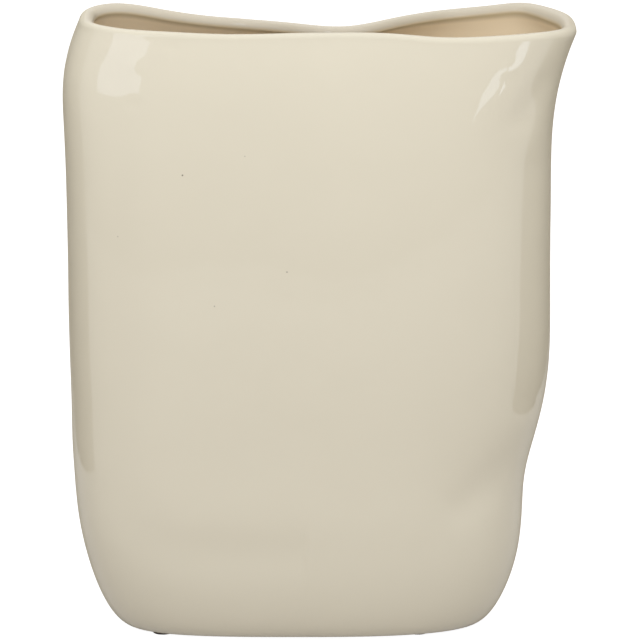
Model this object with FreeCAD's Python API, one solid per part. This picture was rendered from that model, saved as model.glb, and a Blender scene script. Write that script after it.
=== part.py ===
import FreeCAD, Part
import math
import os

# A pillow vase: a flat-sided ceramic vase, drawn like a soft pillow, with a waved and pinched mouth.
# It stands on four self-adhesive felt pads. Millimetres, +Z up, the front is towards -Y.
# The origin is on the surface that the vase stands on, under the middle of its overall box.

# Body
crest_height = 368.4
half_width = 155.0
half_depth = 63.5
wall_thickness = 7.0
lip_thickness = 9.5
spout_lip_extra = 3.0
floor_thickness = 10.0

# Foot: the flat underside, which sits to the left of the middle, and the curl that leads up from it
foot_shift = -10.0
foot_half_width = 105.0
foot_half_depth = 46.0
foot_recess_depth = 2.5
curl_height = 85.0
left_curl_height = 120.0
right_curl_height = 80.0

# Inner floor: how far its flat lies inside the foot's edge, all round
floor_edge_inset = 14.0

# Felt pads under the foot, each on its adhesive disc. They were placed by eye: the insets run from
# the foot's edges to the pads' centres, and the recess of the foot stays a gap clear of the pads.
pad_diameter = 12.7
pad_thickness = 2.2
pad_edge_chamfer = 0.4
adhesive_diameter = 12.0
adhesive_thickness = 0.3
pad_left_inset = 19.0
pad_right_inset = 35.0
pad_side_inset = 19.0
pad_recess_gap = 2.5

# How far a cutter runs past the face that it cuts
cut_overrun = 1.0

# Reach of the left and right walls: height, left and right, as shares of crest height and half width
side_shares = [
    (0.00, 0.964, 0.786),
    (0.12, 0.973, 0.805),
    (0.20, 0.976, 0.805),
    (0.26, 0.974, 0.817),
    (0.32, 0.976, 0.852),
    (0.39, 0.979, 0.889),
    (0.46, 0.984, 0.905),
    (0.60, 0.987, 0.905),
    (0.74, 0.991, 0.905),
    (0.84, 0.999, 0.911),
    (0.91, 0.998, 0.939),
    (0.96, 0.968, 0.975),
    (1.00, 0.925, 1.012),
]

# Reach of the front and back walls: height, front and back, as shares of crest height and half depth
depth_shares = [
    (0.00, 1.000, 1.000),
    (0.25, 1.000, 1.000),
    (0.45, 1.000, 1.000),
    (0.60, 0.985, 0.990),
    (0.75, 0.935, 0.965),
    (0.87, 0.850, 0.935),
    (0.94, 0.765, 0.915),
    (1.00, 0.660, 0.890),
]

# Squareness of the plan at the left and right ends, as powers of a superellipse: height share, powers
corner_powers = [
    (0.00, 3.3, 2.7),
    (0.25, 3.7, 2.7),
    (0.50, 3.9, 3.1),
    (0.80, 3.8, 3.3),
    (1.00, 3.6, 3.6),
]

# How far the mouth wanders from the plain walls: place across as a share of half width, then front and
# back outwards as shares of half depth, then the rise of the front and back crest as shares of crest height
mouth_shares = [
    (-1.00, -0.28, -0.12, 0.0136, 0.0250),
    (-0.80, -0.27, -0.20, 0.0062, 0.0312),
    (-0.61, -0.235, -0.24, 0.0049, 0.0163),
    (-0.34, -0.185, -0.31, 0.0032, 0.0030),
    (-0.10, -0.235, -0.58, 0.0040, 0.0020),
    (0.10, -0.26, -0.82, 0.0047, 0.0042),
    (0.29, -0.20, -0.46, 0.0038, 0.0085),
    (0.48, -0.11, -0.04, -0.0006, 0.0086),
    (0.68, -0.03, 0.11, 0.0016, 0.0135),
    (0.84, -0.01, 0.14, 0.0025, 0.0176),
    (1.00, -0.08, -0.10, 0.0010, 0.0080),
]

# The mouth's waves begin at these shares of crest height, and grow towards the lip by these powers
front_wave_start_share = 0.35
front_wave_power = 2.2
back_wave_start_share = 0.42
back_wave_power = 1.8
crest_wave_start_share = 0.55
crest_wave_power = 2.0

# The round lip leans with the wall by this share, and turns under to where the inner wall begins.
# It is thickest at the spout, the flared corner of the mouth at the right.
lip_lean_share = 0.5
lip_swing = math.radians(195)
under_lip_gap = 6.0
spout_turn = math.radians(28)
spout_spread = math.radians(19)

# Sections of the loft: levels are 0 at the foot, 1 at the top of the curl and 2 at the crest
curl_levels = [0.00, 0.10, 0.20, 0.32, 0.44, 0.58, 0.72, 0.86]
wall_levels = [1.00, 1.06, 1.12, 1.18, 1.24, 1.31, 1.38, 1.46, 1.54, 1.62, 1.69, 1.76, 1.82, 1.87, 1.91, 1.95]
lip_steps = 7
points_round = 72

# The points of a section draw together on the long sides by this share of an even spacing
gather_share = 0.15

pad_height = pad_thickness + adhesive_thickness
foot_ring_width = pad_side_inset + pad_diameter / 2 + pad_recess_gap
lip_level = 2 - lip_thickness / 2 / (crest_height - curl_height)


def spline(rows, column):
    """The natural cubic spline of a column of the rows over their first column."""
    xs = [row[0] for row in rows]
    ys = [row[column] for row in rows]
    last = len(xs) - 1
    gaps = [xs[i + 1] - xs[i] for i in range(last)]
    slopes = [(ys[i + 1] - ys[i]) / gaps[i] for i in range(last)]
    spans = [0.0] * (last + 1)
    bends = [0.0] * (last + 1)
    for i in range(1, last):
        spans[i] = 2 * (gaps[i - 1] + gaps[i])
        bends[i] = 6 * (slopes[i] - slopes[i - 1])
        if i > 1:
            spans[i] -= gaps[i - 1] ** 2 / spans[i - 1]
            bends[i] -= gaps[i - 1] * bends[i - 1] / spans[i - 1]
    for i in range(last - 1, 0, -1):
        bends[i] = (bends[i] - gaps[i] * bends[i + 1]) / spans[i]

    def value(x):
        i = 0
        while i < last - 1 and x > xs[i + 1]:
            i += 1
        after = (x - xs[i]) / gaps[i]
        before = 1 - after
        curve = (before ** 3 - before) * bends[i] + (after ** 3 - after) * bends[i + 1]
        return before * ys[i] + after * ys[i + 1] + curve * gaps[i] ** 2 / 6

    return value


left_reach = spline(side_shares, 1)
right_reach = spline(side_shares, 2)
front_reach = spline(depth_shares, 1)
back_reach = spline(depth_shares, 2)
left_power = spline(corner_powers, 1)
right_power = spline(corner_powers, 2)
front_wave = spline(mouth_shares, 1)
back_wave = spline(mouth_shares, 2)
front_crest = spline(mouth_shares, 3)
back_crest = spline(mouth_shares, 4)


def grown(rise, start, power):
    """How much of a wave is there at a height: none below its start, all of it at the crest."""
    return max(0.0, (rise - start) / (1 - start)) ** power


def superellipse(turn, left, right):
    """Shares of half width and half depth at a turn, with a power of its own for each end."""
    across = math.cos(turn)
    along = math.sin(turn)
    power = right if across > 0 else left
    size = (abs(across) ** power + abs(along) ** power) ** (-1 / power)
    return across * size, along * size


def tucked(wall, foot, height, reach):
    """A wall's place, drawn in to the foot's edge by a quarter ellipse that reaches so far up."""
    return foot + (wall - foot) * math.sqrt(1 - max(0.0, 1 - height / reach) ** 2)


def wall_point(turn, level, inset, edge_inset, base):
    """A point of a wall: turn goes round the plan from the right end by the back, level goes up.

    The inset is the wall's distance inside the outer one, the edge inset is its flat's inside the
    foot's edge, and the base is the height of that flat above the foot.
    """
    if level < 1:
        height = base + (curl_height - base) * (1 - math.cos(level * math.pi / 2))
    else:
        height = curl_height + (crest_height - curl_height) * (level - 1)
    above = height - base
    rise = height / crest_height
    foot_left = foot_half_width - foot_shift - edge_inset
    foot_right = foot_half_width + foot_shift - edge_inset
    foot_deep = foot_half_depth - edge_inset
    left = tucked(left_reach(rise) * half_width - inset, foot_left, above, left_curl_height - base)
    right = tucked(right_reach(rise) * half_width - inset, foot_right, above, right_curl_height - base)
    across, along = superellipse(turn, left_power(rise), right_power(rise))
    x = (right - left) / 2 + across * (right + left) / 2
    place = x / half_width
    front = front_reach(rise) + front_wave(place) * grown(rise, front_wave_start_share, front_wave_power)
    back = back_reach(rise) + back_wave(place) * grown(rise, back_wave_start_share, back_wave_power)
    front = tucked(front * half_depth - inset, foot_deep, above, curl_height - base)
    back = tucked(back * half_depth - inset, foot_deep, above, curl_height - base)
    y = (back - front) / 2 + along * (back + front) / 2
    lift = (front_crest(place) * (1 - along) + back_crest(place) * (1 + along)) / 2
    lift *= grown(rise, crest_wave_start_share, crest_wave_power)
    return FreeCAD.Vector(x, y, pad_height + height + lift * crest_height)


def outside(turn, level):
    """A point of the outer surface."""
    return wall_point(turn, level, 0, 0, 0)


def inside(turn, level):
    """A point of the inner surface, from the inner floor up."""
    return wall_point(turn, level, wall_thickness, floor_edge_inset, floor_thickness)


def lip(turn, swing):
    """A point of the round lip: it swings from the outer face over the top and under the inner edge."""
    step = 0.001
    point = outside(turn, lip_level)
    round_way = outside(turn + step, lip_level) - outside(turn - step, lip_level)
    up_way = outside(turn, lip_level + step) - outside(turn, lip_level - step)
    up_way.normalize()
    up_way = up_way * lip_lean_share + FreeCAD.Vector(0, 0, 1) * (1 - lip_lean_share)
    inward = up_way.cross(round_way)
    up_way = round_way.cross(inward)
    inward.normalize()
    up_way.normalize()
    from_spout = math.remainder(turn - spout_turn, 2 * math.pi) / spout_spread
    radius = (lip_thickness + spout_lip_extra * math.exp(-from_spout ** 2)) / 2
    return point + inward * (radius - radius * math.cos(swing)) + up_way * (radius * math.sin(swing))


def section(place):
    """A closed many-sided section through the points that a function gives round the plan."""
    points = []
    for i in range(points_round):
        turn = 2 * math.pi * i / points_round
        points.append(place(turn + gather_share * math.sin(2 * turn)))
    return Part.makePolygon(points + points[:1])


def vase_body():
    """The fired body, lofted up the outside, over the lip and down to the inner floor."""
    inner_top = lip_level - under_lip_gap / (crest_height - curl_height)
    outer_levels = curl_levels + wall_levels + [lip_level]
    inner_levels = [inner_top] + [level for level in reversed(curl_levels + wall_levels) if level < inner_top]
    sections = [section(lambda turn: outside(turn, level)) for level in outer_levels]
    for i in range(1, lip_steps + 1):
        sections.append(section(lambda turn: lip(turn, lip_swing * i / lip_steps)))
    sections += [section(lambda turn: inside(turn, level)) for level in inner_levels]
    solid = True
    ruled = True
    return Part.makeLoft(sections, solid, ruled).cut(foot_recess()).Solids[0]


def foot_recess():
    """The cutter of the shallow recess inside the foot ring."""
    bottom = pad_height - cut_overrun

    def place(turn):
        across, along = superellipse(turn, left_power(0), right_power(0))
        x = foot_shift + across * (foot_half_width - foot_ring_width)
        return FreeCAD.Vector(x, along * (foot_half_depth - foot_ring_width), bottom)

    return Part.Face(section(place)).extrude(FreeCAD.Vector(0, 0, cut_overrun + foot_recess_depth))


def felt_pad(centre):
    """A round felt pad that stands on the ground, with a worn lower edge."""
    pad = Part.makeCylinder(pad_diameter / 2, pad_thickness, centre)
    lower_edge = min(pad.Edges, key=lambda edge: edge.BoundBox.ZMax)
    return pad.makeChamfer(pad_edge_chamfer, [lower_edge]).Solids[0]


def adhesive_disc(centre):
    """The thin disc of adhesive that holds a pad to the foot ring."""
    base = centre + FreeCAD.Vector(0, 0, pad_thickness)
    return Part.makeCylinder(adhesive_diameter / 2, adhesive_thickness, base)


def pad_centres():
    """Where the four pads stand, by name."""
    left = foot_shift - foot_half_width + pad_left_inset
    right = foot_shift + foot_half_width - pad_right_inset
    deep = foot_half_depth - pad_side_inset
    return {
        "front_left": FreeCAD.Vector(left, -deep, 0),
        "front_right": FreeCAD.Vector(right, -deep, 0),
        "rear_left": FreeCAD.Vector(left, deep, 0),
        "rear_right": FreeCAD.Vector(right, deep, 0),
    }


parts = {"vase_body": vase_body()}
for corner, centre in pad_centres().items():
    parts["felt_pad_" + corner] = felt_pad(centre)
    parts["adhesive_disc_" + corner] = adhesive_disc(centre)

os.makedirs("parts", exist_ok=True)
for name, shape in parts.items():
    shape.exportStep("parts/" + name + ".step")
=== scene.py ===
import math

import bpy
import numpy as np
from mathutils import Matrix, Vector, noise


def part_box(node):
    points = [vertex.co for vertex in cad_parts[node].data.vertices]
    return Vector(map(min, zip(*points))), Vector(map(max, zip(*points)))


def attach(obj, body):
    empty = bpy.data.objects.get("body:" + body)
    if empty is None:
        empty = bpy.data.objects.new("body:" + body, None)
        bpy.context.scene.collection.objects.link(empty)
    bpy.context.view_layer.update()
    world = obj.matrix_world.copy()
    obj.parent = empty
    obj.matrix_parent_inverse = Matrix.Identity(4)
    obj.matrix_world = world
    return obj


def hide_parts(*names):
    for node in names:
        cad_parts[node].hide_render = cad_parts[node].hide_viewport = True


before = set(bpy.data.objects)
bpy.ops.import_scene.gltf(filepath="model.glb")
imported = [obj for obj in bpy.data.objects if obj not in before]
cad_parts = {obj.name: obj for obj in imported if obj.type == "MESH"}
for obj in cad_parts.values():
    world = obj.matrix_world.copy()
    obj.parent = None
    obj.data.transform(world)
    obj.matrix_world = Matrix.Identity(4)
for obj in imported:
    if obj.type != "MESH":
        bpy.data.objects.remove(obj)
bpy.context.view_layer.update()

# A pillow vase in a warm white glaze, on four felt pads. Metres, the front is towards -Y.

# Body
crest_height = 0.3684
half_width = 0.155
half_depth = 0.0635
wall_thickness = 0.007
lip_thickness = 0.0095
spout_lip_extra = 0.003
floor_thickness = 0.010

# Foot, the curl that leads up from it, and the inner floor
foot_shift = -0.010
foot_half_width = 0.105
foot_half_depth = 0.046
foot_recess_depth = 0.0025
foot_ring_width = 0.02785
recess_corner = 0.001
curl_height = 0.085
left_curl_height = 0.120
right_curl_height = 0.080
floor_edge_inset = 0.014

# Reach of the left and right walls: height, left and right, as shares of crest height and half width
side_shares = [
    (0.00, 0.964, 0.786),
    (0.12, 0.973, 0.805),
    (0.20, 0.976, 0.805),
    (0.26, 0.974, 0.817),
    (0.32, 0.976, 0.852),
    (0.39, 0.979, 0.889),
    (0.46, 0.984, 0.905),
    (0.60, 0.987, 0.905),
    (0.74, 0.991, 0.905),
    (0.84, 0.999, 0.911),
    (0.91, 0.998, 0.939),
    (0.96, 0.968, 0.975),
    (1.00, 0.925, 1.012),
]

# Reach of the front and back walls: height, front and back, as shares of crest height and half depth
depth_shares = [
    (0.00, 1.000, 1.000),
    (0.25, 1.000, 1.000),
    (0.45, 1.000, 1.000),
    (0.60, 0.985, 0.990),
    (0.75, 0.935, 0.965),
    (0.87, 0.850, 0.935),
    (0.94, 0.765, 0.915),
    (1.00, 0.660, 0.890),
]

# Squareness of the plan at the left and right ends, as powers of a superellipse: height share, powers
corner_powers = [
    (0.00, 3.3, 2.7),
    (0.25, 3.7, 2.7),
    (0.50, 3.9, 3.1),
    (0.80, 3.8, 3.3),
    (1.00, 3.6, 3.6),
]

# How far the mouth wanders from the plain walls: place across as a share of half width, then front and
# back outwards as shares of half depth, then the rise of the front and back crest as shares of the
# crest height
mouth_shares = [
    (-1.00, -0.28, -0.12, 0.0136, 0.0250),
    (-0.80, -0.27, -0.20, 0.0062, 0.0312),
    (-0.61, -0.235, -0.24, 0.0049, 0.0163),
    (-0.34, -0.185, -0.31, 0.0032, 0.0030),
    (-0.10, -0.235, -0.58, 0.0040, 0.0020),
    (0.10, -0.26, -0.82, 0.0047, 0.0042),
    (0.29, -0.20, -0.46, 0.0038, 0.0085),
    (0.48, -0.11, -0.04, -0.0006, 0.0086),
    (0.68, -0.03, 0.11, 0.0016, 0.0135),
    (0.84, -0.01, 0.14, 0.0025, 0.0176),
    (1.00, -0.08, -0.10, 0.0010, 0.0080),
]

# The mouth's waves begin at these shares of crest height, and grow towards the lip by these powers
front_wave_start_share = 0.35
front_wave_power = 2.2
back_wave_start_share = 0.42
back_wave_power = 1.8
crest_wave_start_share = 0.55
crest_wave_power = 2.0

# The round lip leans with the wall by this share and turns under through this angle. The inner wall
# begins a gap below it. The lip is thickest at the spout, the flared corner of the mouth at the right.
lip_lean_share = 0.5
lip_swing = math.radians(195)
under_lip_gap = 0.006
spout_turn = math.radians(28)
spout_spread = math.radians(19)

# Rows and points of the body's mesh. Round the plan the points gather along the front and back, which
# are longer than the ends. The rows of the underside come at shares of its recess and of its ring.
points_round = 384
gather_share = 0.15
recess_shares = [0.25, 0.5, 0.75, 0.95]
foot_ring_shares = [0.8, 0.55, 0.3, 0.1]
corner_steps = 4
curl_rows = 36
wall_rows = 124
lip_rows = 18
inner_rows = 56
floor_rows = 8

# The lip's crest is darker, partly thin dull glaze and partly painted shade, and the inside is painted
# lighter and warmer, a painted bounce light: where on the lip each of the two starts, and over which share
# of the lip it grows
crest_start_share = 0.28
crest_rise_share = 0.22
inner_start_share = 0.84
inner_rise_share = 0.16

# Painted shade in the fold under the lip: the colour darkens over the last rows of the lip and this share
# of the next row of the inner wall
fold_rows = 4
fold_reach_share = 0.75

# The body is flattened a little along the edges of the front and back panels: how deep at the left and
# the right, how broad, and where the edges run, as a height and the panel's left and right edge there.
# They round off into the lower edge. Flattening and dents fade out over the last levels below the lip.
left_flattening = 0.0009
right_flattening = 0.0002
panel_breadth = 0.014
panel_edges = [
    (0.050, -0.122, 0.092),
    (0.095, -0.124, 0.095),
    (0.120, -0.124, 0.104),
    (0.150, -0.123, 0.109),
    (0.212, -0.122, 0.105),
    (0.275, -0.122, 0.110),
    (0.325, -0.123, 0.116),
    (0.375, -0.125, 0.128),
]
panel_middle = -0.008
panel_bottom = 0.058
panel_corner_height = 0.100
panel_corner_power = 5
panel_fade_level = 0.08

# Dents in the front, low on the right, up the right edge and under the spout: the place across and the
# height of both ends of the valley, its depth and its breadth
dents = [
    (0.128, 0.120, 0.088, 0.086, 0.0012, 0.012),
    (0.128, 0.150, 0.128, 0.290, 0.0013, 0.011),
    (0.155, 0.366, 0.121, 0.322, 0.0016, 0.009),
]

# Swells and dimples that the maker's fingers left in the front, under the mouth: place across, height,
# radius, and the rise of the middle, below zero where it is pressed in. They fade out over the last
# levels below the lip.
dimples = [
    (0.1127, 0.3518, 0.0080, 0.00025),
    (-0.1110, 0.3525, 0.0060, 0.00032),
    (-0.0885, 0.3640, 0.0060, -0.00050),
    (-0.1105, 0.3300, 0.0070, -0.00030),
    (-0.1260, 0.3600, 0.0070, 0.00020),
]
dimple_fade_level = 0.02

# Hand-made unevenness of the walls: wave length and height of each layer, and how far the walls sink as
# a whole so that no wave stands proud of the part. Each layer reads the noise at a place of its own, so
# many wave lengths from the last one's along X, and all at the same place along Y and Z.
uneven_waves = [(0.110, 0.00030), (0.034, 0.00014), (0.014, 0.00005)]
uneven_sink = 0.00034
uneven_layer_shift = 7.3
uneven_side_shifts = (1.9, 4.1)

# Felt pads: points round, the profile from the face to the top as shares of radius and thickness, and
# how deep and how coarse the fraying of the edge is
pad_points_round = 96
pad_profile_shares = [
    (0.35, 0.0),
    (0.70, 0.0),
    (0.90, 0.0),
    (0.955, 0.03),
    (0.985, 0.12),
    (1.0, 0.28),
    (0.99, 0.45),
    (1.0, 0.65),
    (0.99, 0.85),
    (0.995, 1.0),
    (0.70, 1.0),
]
pad_fray = 0.0004
pad_fray_length = 0.0009

# Iron specks in the glaze of the front: place across, height, radius and share of full colour. A speck
# keeps that share out to its core's share of the radius.
specks = [
    (-0.0817, 0.2896, 0.0007, 0.9),
    (-0.0195, 0.2325, 0.0006, 0.7),
    (-0.0628, 0.2119, 0.0006, 0.5),
    (-0.1206, 0.2520, 0.0005, 0.4),
    (-0.0445, 0.3010, 0.0005, 0.4),
]
speck_core_share = 0.3

# The glaze's clear coat thins out from the middle of the picture of a round form to its outline: how
# much the surface faces away where that starts and ends, and the coat's weight there
coat_facing = (0.45, 0.95)
coat_weights = (1.0, 0.05)

# How much of the crest's colour, partly thin glaze and partly painted shade, shows on the lip's crest
crest_color_share = 0.75

# Colours as red, green, blue and alpha. A pair holds the two ends of a mottled colour.
outer_glaze = ((0.735, 0.683, 0.553, 1), (0.768, 0.718, 0.586, 1))
# The inside is painted lighter and warmer than the outside: painted bounce light in the hollow.
inner_glaze_painted_light = ((0.910, 0.765, 0.550, 1), (0.935, 0.795, 0.580, 1))
bare_clay = ((0.560, 0.480, 0.370, 1), (0.760, 0.680, 0.560, 1))
# The lip's crest is painted darker: partly thin, dull glaze and partly painted shade.
crest_glaze_and_painted_shade = (0.590, 0.530, 0.425, 1)
# Painted shade for the fold under the lip.
fold_painted_shade = (0.600, 0.500, 0.330, 1)
iron = (0.120, 0.085, 0.055, 1)
brown_felt = ((0.020, 0.012, 0.011, 1), (0.085, 0.052, 0.046, 1))
milky_glue = ((0.28, 0.26, 0.21, 1), (0.42, 0.40, 0.33, 1))
card_grey = (0.65, 0.63, 0.59, 1)
floor_color = (0.38, 0.345, 0.30, 1)
floor_shaded = (0.35, 0.35, 0.35, 1)
white = (1, 1, 1, 1)

# Camera
view_distance = 3.0
view_elevation = math.radians(12.5)
view_target = Vector((0.0002, 0, 0.190))
view_width = 0.3904
sensor_width = 36.0

# Studio: the world's light, the floor's size and how bright it shows, the grey cards' distance from the
# middle, their reach to the front and back and their height, and the colours of the boxes that show
world_level = 0.852
floor_half_width = 6.0
floor_brightness = 0.97
flag_distance = 0.46
flag_front = -0.15
flag_back = 3.2
flag_height = 1.2
left_box_color = (0.72, 0.80, 1.0)
right_box_color = (0.74, 0.85, 1.0)

# The sockets of a mix node that take its two sides and give its result, for each kind of value
mix_sockets = {"FLOAT": (2, 3, 0), "RGBA": (6, 7, 2)}

# The foot stands on the adhesive discs. The lip begins half its thickness below the crest.
pad_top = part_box("adhesive_disc_front_left")[1].z
lip_level = 2 - lip_thickness / 2 / (crest_height - curl_height)


def spline(rows, column):
    """The natural cubic spline of a column of the rows over their first column."""
    table = np.array(rows)
    xs = table[:, 0]
    ys = table[:, column]
    gaps = np.diff(xs)
    slopes = np.diff(ys) / gaps
    matrix = np.eye(len(xs))
    turns = np.zeros(len(xs))
    for i in range(1, len(xs) - 1):
        matrix[i, i - 1:i + 2] = gaps[i - 1], 2 * (gaps[i - 1] + gaps[i]), gaps[i]
        turns[i] = 6 * (slopes[i] - slopes[i - 1])
    bends = np.linalg.solve(matrix, turns)

    def value(x):
        i = np.clip(np.searchsorted(xs, x) - 1, 0, len(xs) - 2)
        after = (x - xs[i]) / gaps[i]
        before = 1 - after
        curve = (before ** 3 - before) * bends[i] + (after ** 3 - after) * bends[i + 1]
        return before * ys[i] + after * ys[i + 1] + curve * gaps[i] ** 2 / 6

    return value


left_reach = spline(side_shares, 1)
right_reach = spline(side_shares, 2)
front_reach = spline(depth_shares, 1)
back_reach = spline(depth_shares, 2)
left_power = spline(corner_powers, 1)
right_power = spline(corner_powers, 2)
front_wave = spline(mouth_shares, 1)
back_wave = spline(mouth_shares, 2)
front_crest = spline(mouth_shares, 3)
back_crest = spline(mouth_shares, 4)
left_edge = spline(panel_edges, 1)
right_edge = spline(panel_edges, 2)


def grown(rise, start, power):
    """How much of a wave is there at a height: none below its start, all of it at the crest."""
    return np.maximum(0, (rise - start) / (1 - start)) ** power


def superellipse(turn, left, right):
    """Shares of half width and half depth at a turn, with a power of its own for each end."""
    across = np.cos(turn)
    along = np.sin(turn)
    power = np.where(across > 0, right, left)
    size = (np.abs(across) ** power + np.abs(along) ** power) ** (-1 / power)
    return across * size, along * size


def tucked(wall, foot, height, reach):
    """A wall's place, drawn in to the foot's edge by a quarter ellipse that reaches so far up."""
    return foot + (wall - foot) * np.sqrt(1 - np.maximum(0, 1 - height / reach) ** 2)


def wall_points(turn, level, inset, edge_inset, base):
    """Points of a wall: turn goes round the plan from the right end by the back, level goes up.

    Level 0 is the base, 1 the top of the curl and 2 the crest. The wall lies an inset inside the plain
    outer one, and its lower edge an inset of its own inside the foot's.
    """
    curl = base + (curl_height - base) * (1 - np.cos(np.minimum(level, 1) * math.pi / 2))
    height = np.where(level < 1, curl, curl_height + (crest_height - curl_height) * (level - 1))
    above = height - base
    rise = height / crest_height
    foot_left = foot_half_width - foot_shift - edge_inset
    foot_right = foot_half_width + foot_shift - edge_inset
    foot_deep = foot_half_depth - edge_inset
    left = tucked(left_reach(rise) * half_width - inset, foot_left, above, left_curl_height - base)
    right = tucked(right_reach(rise) * half_width - inset, foot_right, above, right_curl_height - base)
    across, along = superellipse(turn, left_power(rise), right_power(rise))
    x = (right - left) / 2 + across * (right + left) / 2
    place = x / half_width
    front = front_reach(rise) + front_wave(place) * grown(rise, front_wave_start_share, front_wave_power)
    back = back_reach(rise) + back_wave(place) * grown(rise, back_wave_start_share, back_wave_power)
    front = tucked(front * half_depth - inset, foot_deep, above, curl_height - base)
    back = tucked(back * half_depth - inset, foot_deep, above, curl_height - base)
    y = (back - front) / 2 + along * (back + front) / 2
    lift = (front_crest(place) * (1 - along) + back_crest(place) * (1 + along)) / 2
    lift = lift * grown(rise, crest_wave_start_share, crest_wave_power)
    return np.stack([x, y, pad_top + height + lift * crest_height + 0 * x], axis=-1)


def outside(turn, level):
    """Points of the plain outer surface."""
    return wall_points(turn, level, 0, 0, 0)


def inside(turn, level):
    """Points of the plain inner surface, from the inner floor up."""
    return wall_points(turn, level, wall_thickness, floor_edge_inset, floor_thickness)


def unit(vectors):
    """The vectors at length one."""
    return vectors / np.linalg.norm(vectors, axis=-1, keepdims=True)


def lip(turn, swing):
    """Points of the round lip: it swings from the outer face over the top and under the inner edge."""
    step = 0.001
    point = outside(turn, lip_level)
    round_way = outside(turn + step, lip_level) - outside(turn - step, lip_level)
    up_way = unit(outside(turn, lip_level + step) - outside(turn, lip_level - step))
    up_way = up_way * lip_lean_share + np.array([0, 0, 1]) * (1 - lip_lean_share)
    inward = np.cross(up_way, round_way)
    up_way = unit(np.cross(round_way, inward))
    inward = unit(inward)
    from_spout = np.remainder(turn - spout_turn + math.pi, 2 * math.pi) - math.pi
    swell = spout_lip_extra * np.exp(-(from_spout / spout_spread) ** 2)
    radius = ((lip_thickness + swell) / 2)[..., None]
    swing = swing[..., None]
    return point + inward * radius * (1 - np.cos(swing)) + up_way * radius * np.sin(swing)


def foot_rows(turn):
    """Rows of the underside, from the middle of the recess out to just inside the foot's edge."""
    across, along = superellipse(turn, left_power(0), right_power(0))
    bends = np.arange(corner_steps) * math.pi / 2 / (corner_steps - 1)
    inner_edge = foot_ring_width + recess_corner
    steps = [(share, inner_edge, foot_recess_depth) for share in recess_shares]
    for bend in bends:
        inset = inner_edge - recess_corner * (1 - math.cos(bend))
        steps.append((1, inset, foot_recess_depth - recess_corner * math.sin(bend)))
    for bend in bends:
        inset = foot_ring_width - recess_corner * math.sin(bend)
        steps.append((1, inset, recess_corner * (1 - math.sin(bend))))
    for share in foot_ring_shares:
        steps.append((1, foot_ring_width * share, 0))
    rows = []
    for share, inset, rise in steps:
        x = foot_shift + across * (foot_half_width - inset) * share
        y = along * (foot_half_depth - inset) * share
        rows.append(np.stack([x, y, pad_top + rise + 0 * x], axis=-1))
    return np.array(rows)


def outer_levels():
    """The levels of the outer rows, from the foot to the lip."""
    return np.concatenate([np.arange(curl_rows) / curl_rows, np.linspace(1, lip_level, wall_rows)])


def body_rows():
    """All rows of the plain body, from the middle of the underside to the middle of the inner floor.

    They come in five parts: underside, outer wall, round lip, inner wall and inner floor.
    """
    turn = np.arange(points_round) * 2 * math.pi / points_round
    turn = turn + gather_share * np.sin(2 * turn)
    foot = foot_rows(turn)
    outer = outside(turn[None, :], outer_levels()[:, None])
    swings = np.arange(1, lip_rows + 1) * lip_swing / lip_rows
    round_lip = lip(turn[None, :] + 0 * swings[:, None], swings[:, None] + 0 * turn[None, :])
    inner_top = lip_level - under_lip_gap / (crest_height - curl_height)
    inner_levels = np.linspace(inner_top, 0, inner_rows)
    inner = inside(turn[None, :], inner_levels[:, None])
    middle = inner[-1].mean(axis=0)
    shares = 1 - np.arange(1, floor_rows) / floor_rows
    inner_floor = middle + (inner[-1] - middle) * shares[:, None, None]
    return foot, outer, round_lip, inner, inner_floor


def row_normals(rows):
    """Outward normals of a grid of points that is closed round its second way."""
    round_way = np.roll(rows, -1, axis=1) - np.roll(rows, 1, axis=1)
    up_way = np.gradient(rows, axis=0)
    return unit(np.cross(round_way, up_way))


def panel_relief(points):
    """The height of the panels' flattened edges and of the dents at each point; all are below zero."""
    x = points[:, 0]
    z = points[:, 2]
    edge = np.where(x < panel_middle, left_edge(z), right_edge(z))
    reach = np.abs(edge - panel_middle)
    across = np.abs(x - panel_middle) / reach
    below = np.maximum(0, panel_bottom + panel_corner_height - z) / panel_corner_height
    out = (across ** panel_corner_power + below ** panel_corner_power) ** (1 / panel_corner_power)
    gap = (out - 1) * np.where(across > below, reach, panel_corner_height)
    flattening = np.where(x < panel_middle, left_flattening, right_flattening)
    relief = -flattening * np.exp(-(gap / panel_breadth) ** 2)
    for x0, z0, x1, z1, depth, breadth in dents:
        start = np.array([x0, z0])
        along = np.array([x1, z1]) - start
        place = points[:, [0, 2]] - start
        share = np.clip(place @ along / (along @ along), 0, 1)
        away = np.linalg.norm(place - share[:, None] * along, axis=1)
        relief -= depth * (points[:, 1] < 0) * np.exp(-(away / breadth) ** 2)
    return relief


def dimple_relief(points):
    """The height of the swells and dimples in the front at each point."""
    relief = np.zeros(len(points))
    for x, z, radius, rise in dimples:
        away = np.hypot(points[:, 0] - x, points[:, 2] - z)
        near = np.maximum(0, 1 - away / radius)
        relief += rise * near ** 2 * (3 - 2 * near)
    return relief * (points[:, 1] < 0)


def uneven(points):
    """The height of the hand-made unevenness at each point."""
    heights = np.full(len(points), -uneven_sink)
    for layer, (length, height) in enumerate(uneven_waves):
        shift = Vector((uneven_layer_shift * layer, *uneven_side_shifts))
        for i, point in enumerate(points):
            heights[i] += height * noise.noise(Vector(point) / length + shift)
    return heights


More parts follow.
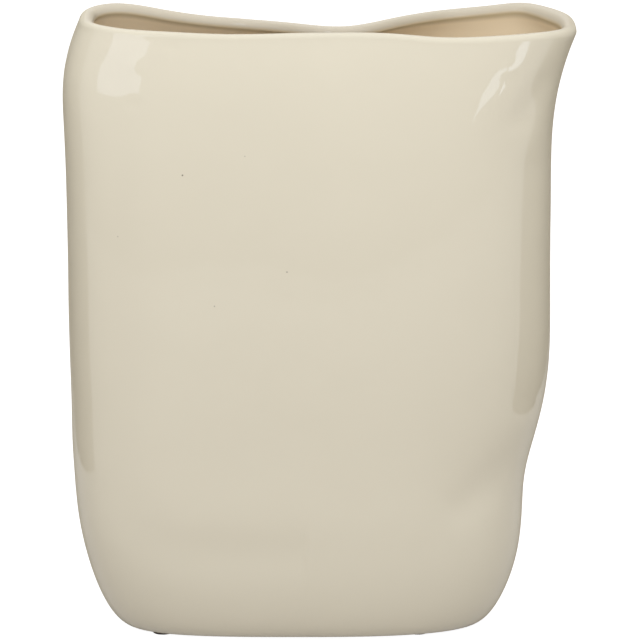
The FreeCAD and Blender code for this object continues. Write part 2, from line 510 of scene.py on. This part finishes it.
def worked_walls(outer, round_lip, inner):
    """The rows of the outer wall, the lip and the inner wall, with the marks that hands leave."""
    walls = np.concatenate([outer, round_lip, inner])
    normals = row_normals(walls)
    fade = np.ones(len(walls))
    fade[:curl_rows] = np.linspace(0, 1, curl_rows) ** 2
    heights = uneven(walls.reshape(-1, 3)).reshape(walls.shape[:2]) * fade[:, None]
    under_lip = lip_level - outer_levels()[:, None]
    panels = panel_relief(outer.reshape(-1, 3)).reshape(outer.shape[:2])
    panels = panels * np.clip(under_lip / panel_fade_level, 0, 1)
    touched = dimple_relief(outer.reshape(-1, 3)).reshape(outer.shape[:2])
    touched = touched * np.clip(under_lip / dimple_fade_level, 0, 1)
    heights[:len(outer)] += (panels + touched) * np.abs(normals[:len(outer), :, 1])
    return walls + normals * heights[..., None]


def mesh_object(name, points, faces):
    """A smooth-shaded mesh object in the scene."""
    mesh = bpy.data.meshes.new(name)
    mesh.from_pydata([tuple(p) for p in points], [], faces)
    mesh.validate()
    mesh.shade_smooth()
    piece = bpy.data.objects.new(name, mesh)
    bpy.context.scene.collection.objects.link(piece)
    return piece


def closed_piece(name, rows, low_middle, high_middle):
    """A closed mesh object: rows of points round it, and a fan of faces to a middle at each end."""
    count, n = rows.shape[:2]
    points = np.concatenate([rows.reshape(-1, 3), [low_middle, high_middle]])
    faces = []
    for i in range(count - 1):
        for j in range(n):
            k = (j + 1) % n
            faces.append((i * n + j, i * n + k, (i + 1) * n + k, (i + 1) * n + j))
    last = (count - 1) * n
    for j in range(n):
        k = (j + 1) % n
        faces.append((count * n, k, j))
        faces.append((count * n + 1, last + j, last + k))
    return mesh_object(name, points, faces)


def add_attribute(piece, name, values):
    """An attribute of the body's points, from a value for each row.

    The middle of the underside gets the first row's value and that of the inner floor the last row's.
    """
    attribute = piece.data.attributes.new(name, "FLOAT", "POINT")
    attribute.data.foreach_set("value", np.concatenate([np.repeat(values, points_round), values[[0, -1]]]))


def mark_glaze(piece, count, lip_start, foot_end):
    """Attributes of the body's rows: bare clay, the lip's crest, the inner side and the fold."""
    lip_end = lip_start + lip_rows
    swing = np.arange(1, lip_rows + 1) / lip_rows
    grown_crest_shade = np.clip((swing - crest_start_share) / crest_rise_share, 0, 1)
    grown_inner = np.clip((swing - inner_start_share) / inner_rise_share, 0, 1)
    bare = np.zeros(count)
    bare[:foot_end] = 1
    add_attribute(piece, "bare_clay", bare)
    # Where the lip's crest is painted darker: partly thin glaze, partly painted shade.
    crest = np.zeros(count)
    crest[lip_start:lip_end] = grown_crest_shade * (1 - grown_inner)
    add_attribute(piece, "lip_crest", crest)
    # Where the inside is painted lighter and warmer: painted bounce light.
    inner = np.zeros(count)
    inner[lip_start:lip_end] = grown_inner
    inner[lip_end:] = 1
    add_attribute(piece, "inner_side", inner)
    # Where painted shade darkens the fold under the lip.
    fold = np.zeros(count)
    fold[lip_end - fold_rows:lip_end] = np.arange(1, fold_rows + 1) / fold_rows
    add_attribute(piece, "lip_fold_shade", fold)


def vase_body():
    """The fired body as one closed smooth mesh, with attributes for its material."""
    foot, outer, round_lip, inner, inner_floor = body_rows()
    rows = np.concatenate([foot, worked_walls(outer, round_lip, inner), inner_floor])
    piece = closed_piece("vase_glazed_body", rows, foot[0].mean(axis=0), inner_floor[-1].mean(axis=0))
    mark_glaze(piece, len(rows), len(foot) + len(outer), len(foot))
    return piece


def felt_pad(name, node):
    """A worn felt disc in a node's place: its edge is soft and frayed."""
    low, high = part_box(node)
    middle = (low + high) / 2
    radius = (high.x - low.x) / 2
    turn = np.arange(pad_points_round) * 2 * math.pi / pad_points_round
    rows = []
    for share, rise in pad_profile_shares:
        row = np.stack([np.cos(turn) * radius * share, np.sin(turn) * radius * share, 0 * turn], axis=-1)
        row = row + np.array([middle.x, middle.y, low.z + rise * (high.z - low.z)])
        for i, point in enumerate(row):
            worn = pad_fray * share * (noise.noise(Vector(point) / pad_fray_length) + 1) / 2
            row[i, :2] -= (point[:2] - np.array(middle[:2])) / radius * worn
        rows.append(row)
    return closed_piece(name, np.array(rows), (middle.x, middle.y, low.z), (middle.x, middle.y, high.z))


def new_material(name):
    """A node material and its shader."""
    material = bpy.data.materials.new(name)
    material.use_nodes = True
    return material, material.node_tree.nodes["Principled BSDF"]


def plug(tree, value, socket):
    """Links another node's output to a socket, or sets a plain value there."""
    if isinstance(value, bpy.types.NodeSocket):
        tree.links.new(value, socket)
    else:
        socket.default_value = value


def add_node(tree, kind, **values):
    """A node with its properties set, and with its named inputs set or linked."""
    node = tree.nodes.new(kind)
    for key, value in values.items():
        if key in node.inputs:
            plug(tree, value, node.inputs[key])
        else:
            setattr(node, key, value)
    return node


def blend(tree, kind, share, first, second):
    """A mix of two values or colours by a share; each is given plainly or as another node's output."""
    mix = add_node(tree, "ShaderNodeMix", data_type=kind)
    first_socket, second_socket, result = mix_sockets[kind]
    plug(tree, share, mix.inputs[0])
    plug(tree, first, mix.inputs[first_socket])
    plug(tree, second, mix.inputs[second_socket])
    return mix.outputs[result]


def reckon(tree, operation, first, second):
    """The result of a math node; each side is a number or another node's output."""
    node = add_node(tree, "ShaderNodeMath", operation=operation)
    plug(tree, first, node.inputs[0])
    plug(tree, second, node.inputs[1])
    return node.outputs[0]


def smooth_step(tree, value, reach, results):
    """A smooth change from the first result to the second while a value goes through its reach."""
    node = add_node(tree, "ShaderNodeMapRange", interpolation_type="SMOOTHSTEP", Value=value)
    for key, number in zip(("From Min", "From Max", "To Min", "To Max"), (*reach, *results)):
        node.inputs[key].default_value = number
    return node.outputs[0]


def attribute_value(tree, name):
    """An attribute of the mesh."""
    return add_node(tree, "ShaderNodeAttribute", attribute_name=name).outputs["Fac"]


def speck_share(tree, place):
    """The specks' share of the colour: the sum of soft round spots on the front."""
    apart = add_node(tree, "ShaderNodeSeparateXYZ", Vector=place)
    front = reckon(tree, "LESS_THAN", apart.outputs["Y"], 0)
    flat = add_node(tree, "ShaderNodeCombineXYZ", X=apart.outputs["X"], Z=apart.outputs["Z"])
    total = 0
    for x, z, radius, share in specks:
        away = add_node(tree, "ShaderNodeVectorMath", operation="DISTANCE")
        plug(tree, flat.outputs[0], away.inputs[0])
        plug(tree, (x, 0, z), away.inputs[1])
        reach = (radius * speck_core_share, radius)
        total = reckon(tree, "ADD", total, smooth_step(tree, away.outputs["Value"], reach, (share, 0)))
    return reckon(tree, "MULTIPLY", total, front)


def glaze_color(tree, place, grit, bare):
    """Warm white: painted bounce light inside, thin glaze and painted shade on the lip's crest, painted
    shade in the fold, specked, and clay at the foot.
    """
    clouds = add_node(tree, "ShaderNodeTexNoise", Vector=place, Scale=9.0, Detail=4.0, Roughness=0.6)
    outer = blend(tree, "RGBA", clouds.outputs["Fac"], *outer_glaze)
    inner = blend(tree, "RGBA", clouds.outputs["Fac"], *inner_glaze_painted_light)
    clay = blend(tree, "RGBA", grit, *bare_clay)
    # The inside is painted lighter and warmer: painted bounce light.
    color = blend(tree, "RGBA", attribute_value(tree, "inner_side"), outer, inner)
    # The lip's crest is painted darker: partly thin glaze, partly painted shade.
    crest = reckon(tree, "MULTIPLY", attribute_value(tree, "lip_crest"), crest_color_share)
    color = blend(tree, "RGBA", crest, color, crest_glaze_and_painted_shade)
    # Painted shade in the fold under the lip.
    fold = smooth_step(tree, attribute_value(tree, "lip_fold_shade"), (1 - fold_reach_share, 1), (0, 1))
    color = blend(tree, "RGBA", fold, color, fold_painted_shade)
    color = blend(tree, "RGBA", speck_share(tree, place), color, iron)
    return blend(tree, "RGBA", bare, color, clay)


def glaze_material():
    """Glossy glaze with a fine orange peel, and gritty bare clay at the foot."""
    material, shader = new_material("warm_white_glaze")
    tree = material.node_tree
    place = add_node(tree, "ShaderNodeTexCoord").outputs["Object"]
    grit = add_node(tree, "ShaderNodeTexNoise", Vector=place, Scale=900.0, Detail=3.0, Roughness=0.7)
    bare = attribute_value(tree, "bare_clay")
    plug(tree, glaze_color(tree, place, grit.outputs["Fac"], bare), shader.inputs["Base Color"])
    peel = add_node(tree, "ShaderNodeTexNoise", Vector=place, Scale=420.0, Detail=2.0)
    height = blend(tree, "FLOAT", bare, peel.outputs["Fac"], grit.outputs["Fac"])
    bump = add_node(tree, "ShaderNodeBump", Strength=0.04, Distance=0.0004, Height=height)
    plug(tree, bump.outputs["Normal"], shader.inputs["Normal"])
    facing = add_node(tree, "ShaderNodeLayerWeight", Blend=0.5).outputs["Facing"]
    gloss = smooth_step(tree, facing, coat_facing, coat_weights)
    plug(tree, blend(tree, "FLOAT", bare, gloss, 0), shader.inputs["Coat Weight"])
    shader.inputs["Roughness"].default_value = 0.4
    shader.inputs["Specular IOR Level"].default_value = 0
    shader.inputs["Coat Roughness"].default_value = 0.02
    return material


def felt_material():
    """Dark brown felt: matted fibres, a soft sheen and an uneven tone."""
    material, shader = new_material("brown_felt")
    tree = material.node_tree
    place = add_node(tree, "ShaderNodeTexCoord").outputs["Object"]
    fibres = add_node(tree, "ShaderNodeTexNoise", Vector=place, Scale=2600.0, Detail=3.0, Roughness=0.7)
    tone = blend(tree, "RGBA", fibres.outputs["Fac"], *brown_felt)
    plug(tree, tone, shader.inputs["Base Color"])
    bump = add_node(tree, "ShaderNodeBump", Strength=0.8, Distance=0.0003, Height=fibres.outputs["Fac"])
    plug(tree, bump.outputs["Normal"], shader.inputs["Normal"])
    shader.inputs["Roughness"].default_value = 0.95
    shader.inputs["Sheen Weight"].default_value = 0.4
    return material


def adhesive_material():
    """Milky acrylic adhesive with fine bubbles."""
    material, shader = new_material("milky_adhesive")
    tree = material.node_tree
    place = add_node(tree, "ShaderNodeTexCoord").outputs["Object"]
    bubbles = add_node(tree, "ShaderNodeTexVoronoi", Vector=place, Scale=2200.0)
    tone = blend(tree, "RGBA", bubbles.outputs["Distance"], *milky_glue)
    plug(tree, tone, shader.inputs["Base Color"])
    shader.inputs["Roughness"].default_value = 0.45
    return material


def add_camera():
    """The camera at the photograph's distance and height."""
    data = bpy.data.cameras.new("camera")
    data.sensor_width = sensor_width
    data.lens = sensor_width * view_distance / view_width
    camera = bpy.data.objects.new("camera", data)
    back = Vector((0, -math.cos(view_elevation), math.sin(view_elevation)))
    camera.location = view_target + back * view_distance
    camera.rotation_euler = (math.pi / 2 - view_elevation, 0, 0)
    bpy.context.scene.collection.objects.link(camera)
    bpy.context.scene.camera = camera


def add_softbox(name, azimuth, elevation, distance, width, height, radiance, mirror_color=None):
    """A rectangular lamp that faces the vase and that the camera doesn't see.

    Azimuth 0 is in front of the vase and 90 is at its right, in degrees. A lamp with a mirror color is
    one that shows in the glaze and does nothing else; the others only light.
    """
    across = math.radians(azimuth)
    above = math.radians(elevation)
    level_way = math.cos(above)
    out = Vector((math.sin(across) * level_way, -math.cos(across) * level_way, math.sin(above)))
    data = bpy.data.lights.new(name, "AREA")
    data.shape = "RECTANGLE"
    data.size = width
    data.size_y = height
    data.energy = radiance * math.pi * width * height
    lamp = bpy.data.objects.new(name, data)
    lamp.location = view_target + out * distance
    lamp.rotation_euler = out.to_track_quat("Z", "Y").to_euler()
    lamp.visible_camera = False
    lamp.visible_glossy = mirror_color is not None
    lamp.visible_diffuse = mirror_color is None
    if mirror_color:
        data.color = mirror_color
    bpy.context.scene.collection.objects.link(lamp)


def add_flag(name, side):
    """A grey card beside the vase that shades its end, as in a studio; the camera doesn't see it."""
    x = side * flag_distance
    low = [(x, flag_front, 0), (x, flag_back, 0)]
    high = [(x, flag_back, flag_height), (x, flag_front, flag_height)]
    flag = mesh_object(name, low + high, [(0, 1, 2, 3)])
    material, shader = new_material(name + "_card")
    shader.inputs["Base Color"].default_value = card_grey
    shader.inputs["Roughness"].default_value = 0.9
    flag.data.materials.append(material)
    flag.visible_camera = False


def show_by_ray(tree, output, plain, direct):
    """Gives an output one shader where it lights the vase, and another where it is seen directly.

    Seen directly means by the camera's rays and by those that a glossy or clear surface sends on.
    """
    path = tree.nodes.new("ShaderNodeLightPath")
    seen = path.outputs["Is Camera Ray"]
    for ray in ("Is Glossy Ray", "Is Transmission Ray"):
        seen = reckon(tree, "MAXIMUM", seen, path.outputs[ray])
    mix = add_node(tree, "ShaderNodeMixShader")
    for value, socket in zip((seen, plain.outputs[0], direct.outputs[0]), mix.inputs):
        plug(tree, value, socket)
    plug(tree, mix.outputs[0], tree.nodes[output].inputs["Surface"])


def add_world():
    """A plain world that lights at a level and is white where it is seen."""
    world = bpy.data.worlds.new("studio")
    bpy.context.scene.world = world
    world.use_nodes = True
    tree = world.node_tree
    lit = tree.nodes["Background"]
    lit.inputs["Color"].default_value = white
    lit.inputs["Strength"].default_value = world_level
    bright = add_node(tree, "ShaderNodeBackground", Color=white, Strength=1.0)
    show_by_ray(tree, "World Output", lit, bright)


def add_floor():
    """A pale floor that is white where it is seen, but for the vase's own shadow."""
    half = floor_half_width
    corners = [(-half, -half, 0), (half, -half, 0), (half, half, 0), (-half, half, 0)]
    floor = mesh_object("floor", corners, [(0, 1, 2, 3)])
    material, shader = new_material("pale_floor")
    tree = material.node_tree
    tree.nodes.remove(shader)
    plain = add_node(tree, "ShaderNodeBsdfDiffuse", Color=floor_color)
    shaded = add_node(tree, "ShaderNodeBsdfDiffuse", Color=floor_shaded)
    bright = add_node(tree, "ShaderNodeEmission", Color=white, Strength=floor_brightness)
    both = add_node(tree, "ShaderNodeAddShader")
    plug(tree, shaded.outputs[0], both.inputs[0])
    plug(tree, bright.outputs[0], both.inputs[1])
    show_by_ray(tree, "Material Output", plain, both)
    floor.data.materials.append(material)


body = vase_body()
body.data.materials.append(glaze_material())
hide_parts("vase_body")
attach(body, "root")

felt = felt_material()
adhesive = adhesive_material()
for place in ("front_left", "front_right", "rear_left", "rear_right"):
    pad = felt_pad("felt_" + place, "felt_pad_" + place)
    pad.data.materials.append(felt)
    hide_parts("felt_pad_" + place)
    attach(pad, "root")
    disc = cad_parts["adhesive_disc_" + place]
    disc.data.materials.clear()
    disc.data.materials.append(adhesive)

add_camera()
add_world()
add_floor()
add_flag("flag_left", -1)
add_flag("flag_right", 1)
add_softbox("left_box", azimuth=-36, elevation=36.5, distance=2.2, width=0.35, height=0.89,
            radiance=1.7, mirror_color=left_box_color)
add_softbox("right_box_high", azimuth=33, elevation=10.3, distance=2.2, width=0.54, height=0.19,
            radiance=3.0, mirror_color=right_box_color)
add_softbox("right_box_low", azimuth=18, elevation=12, distance=2.2, width=0.40, height=0.14,
            radiance=2.4, mirror_color=right_box_color)
add_softbox("front_high", azimuth=0, elevation=40, distance=2.5, width=1.6, height=1.2, radiance=1.7)
add_softbox("front_low", azimuth=0, elevation=12, distance=2.8, width=1.6, height=1.2, radiance=1.0)
add_softbox("top", azimuth=0, elevation=75, distance=2.5, width=2.0, height=1.5, radiance=1.0)
add_softbox("back_top", azimuth=180, elevation=55, distance=2.5, width=1.6, height=1.2, radiance=1.2)
bpy.context.scene.view_settings.view_transform = "Standard"
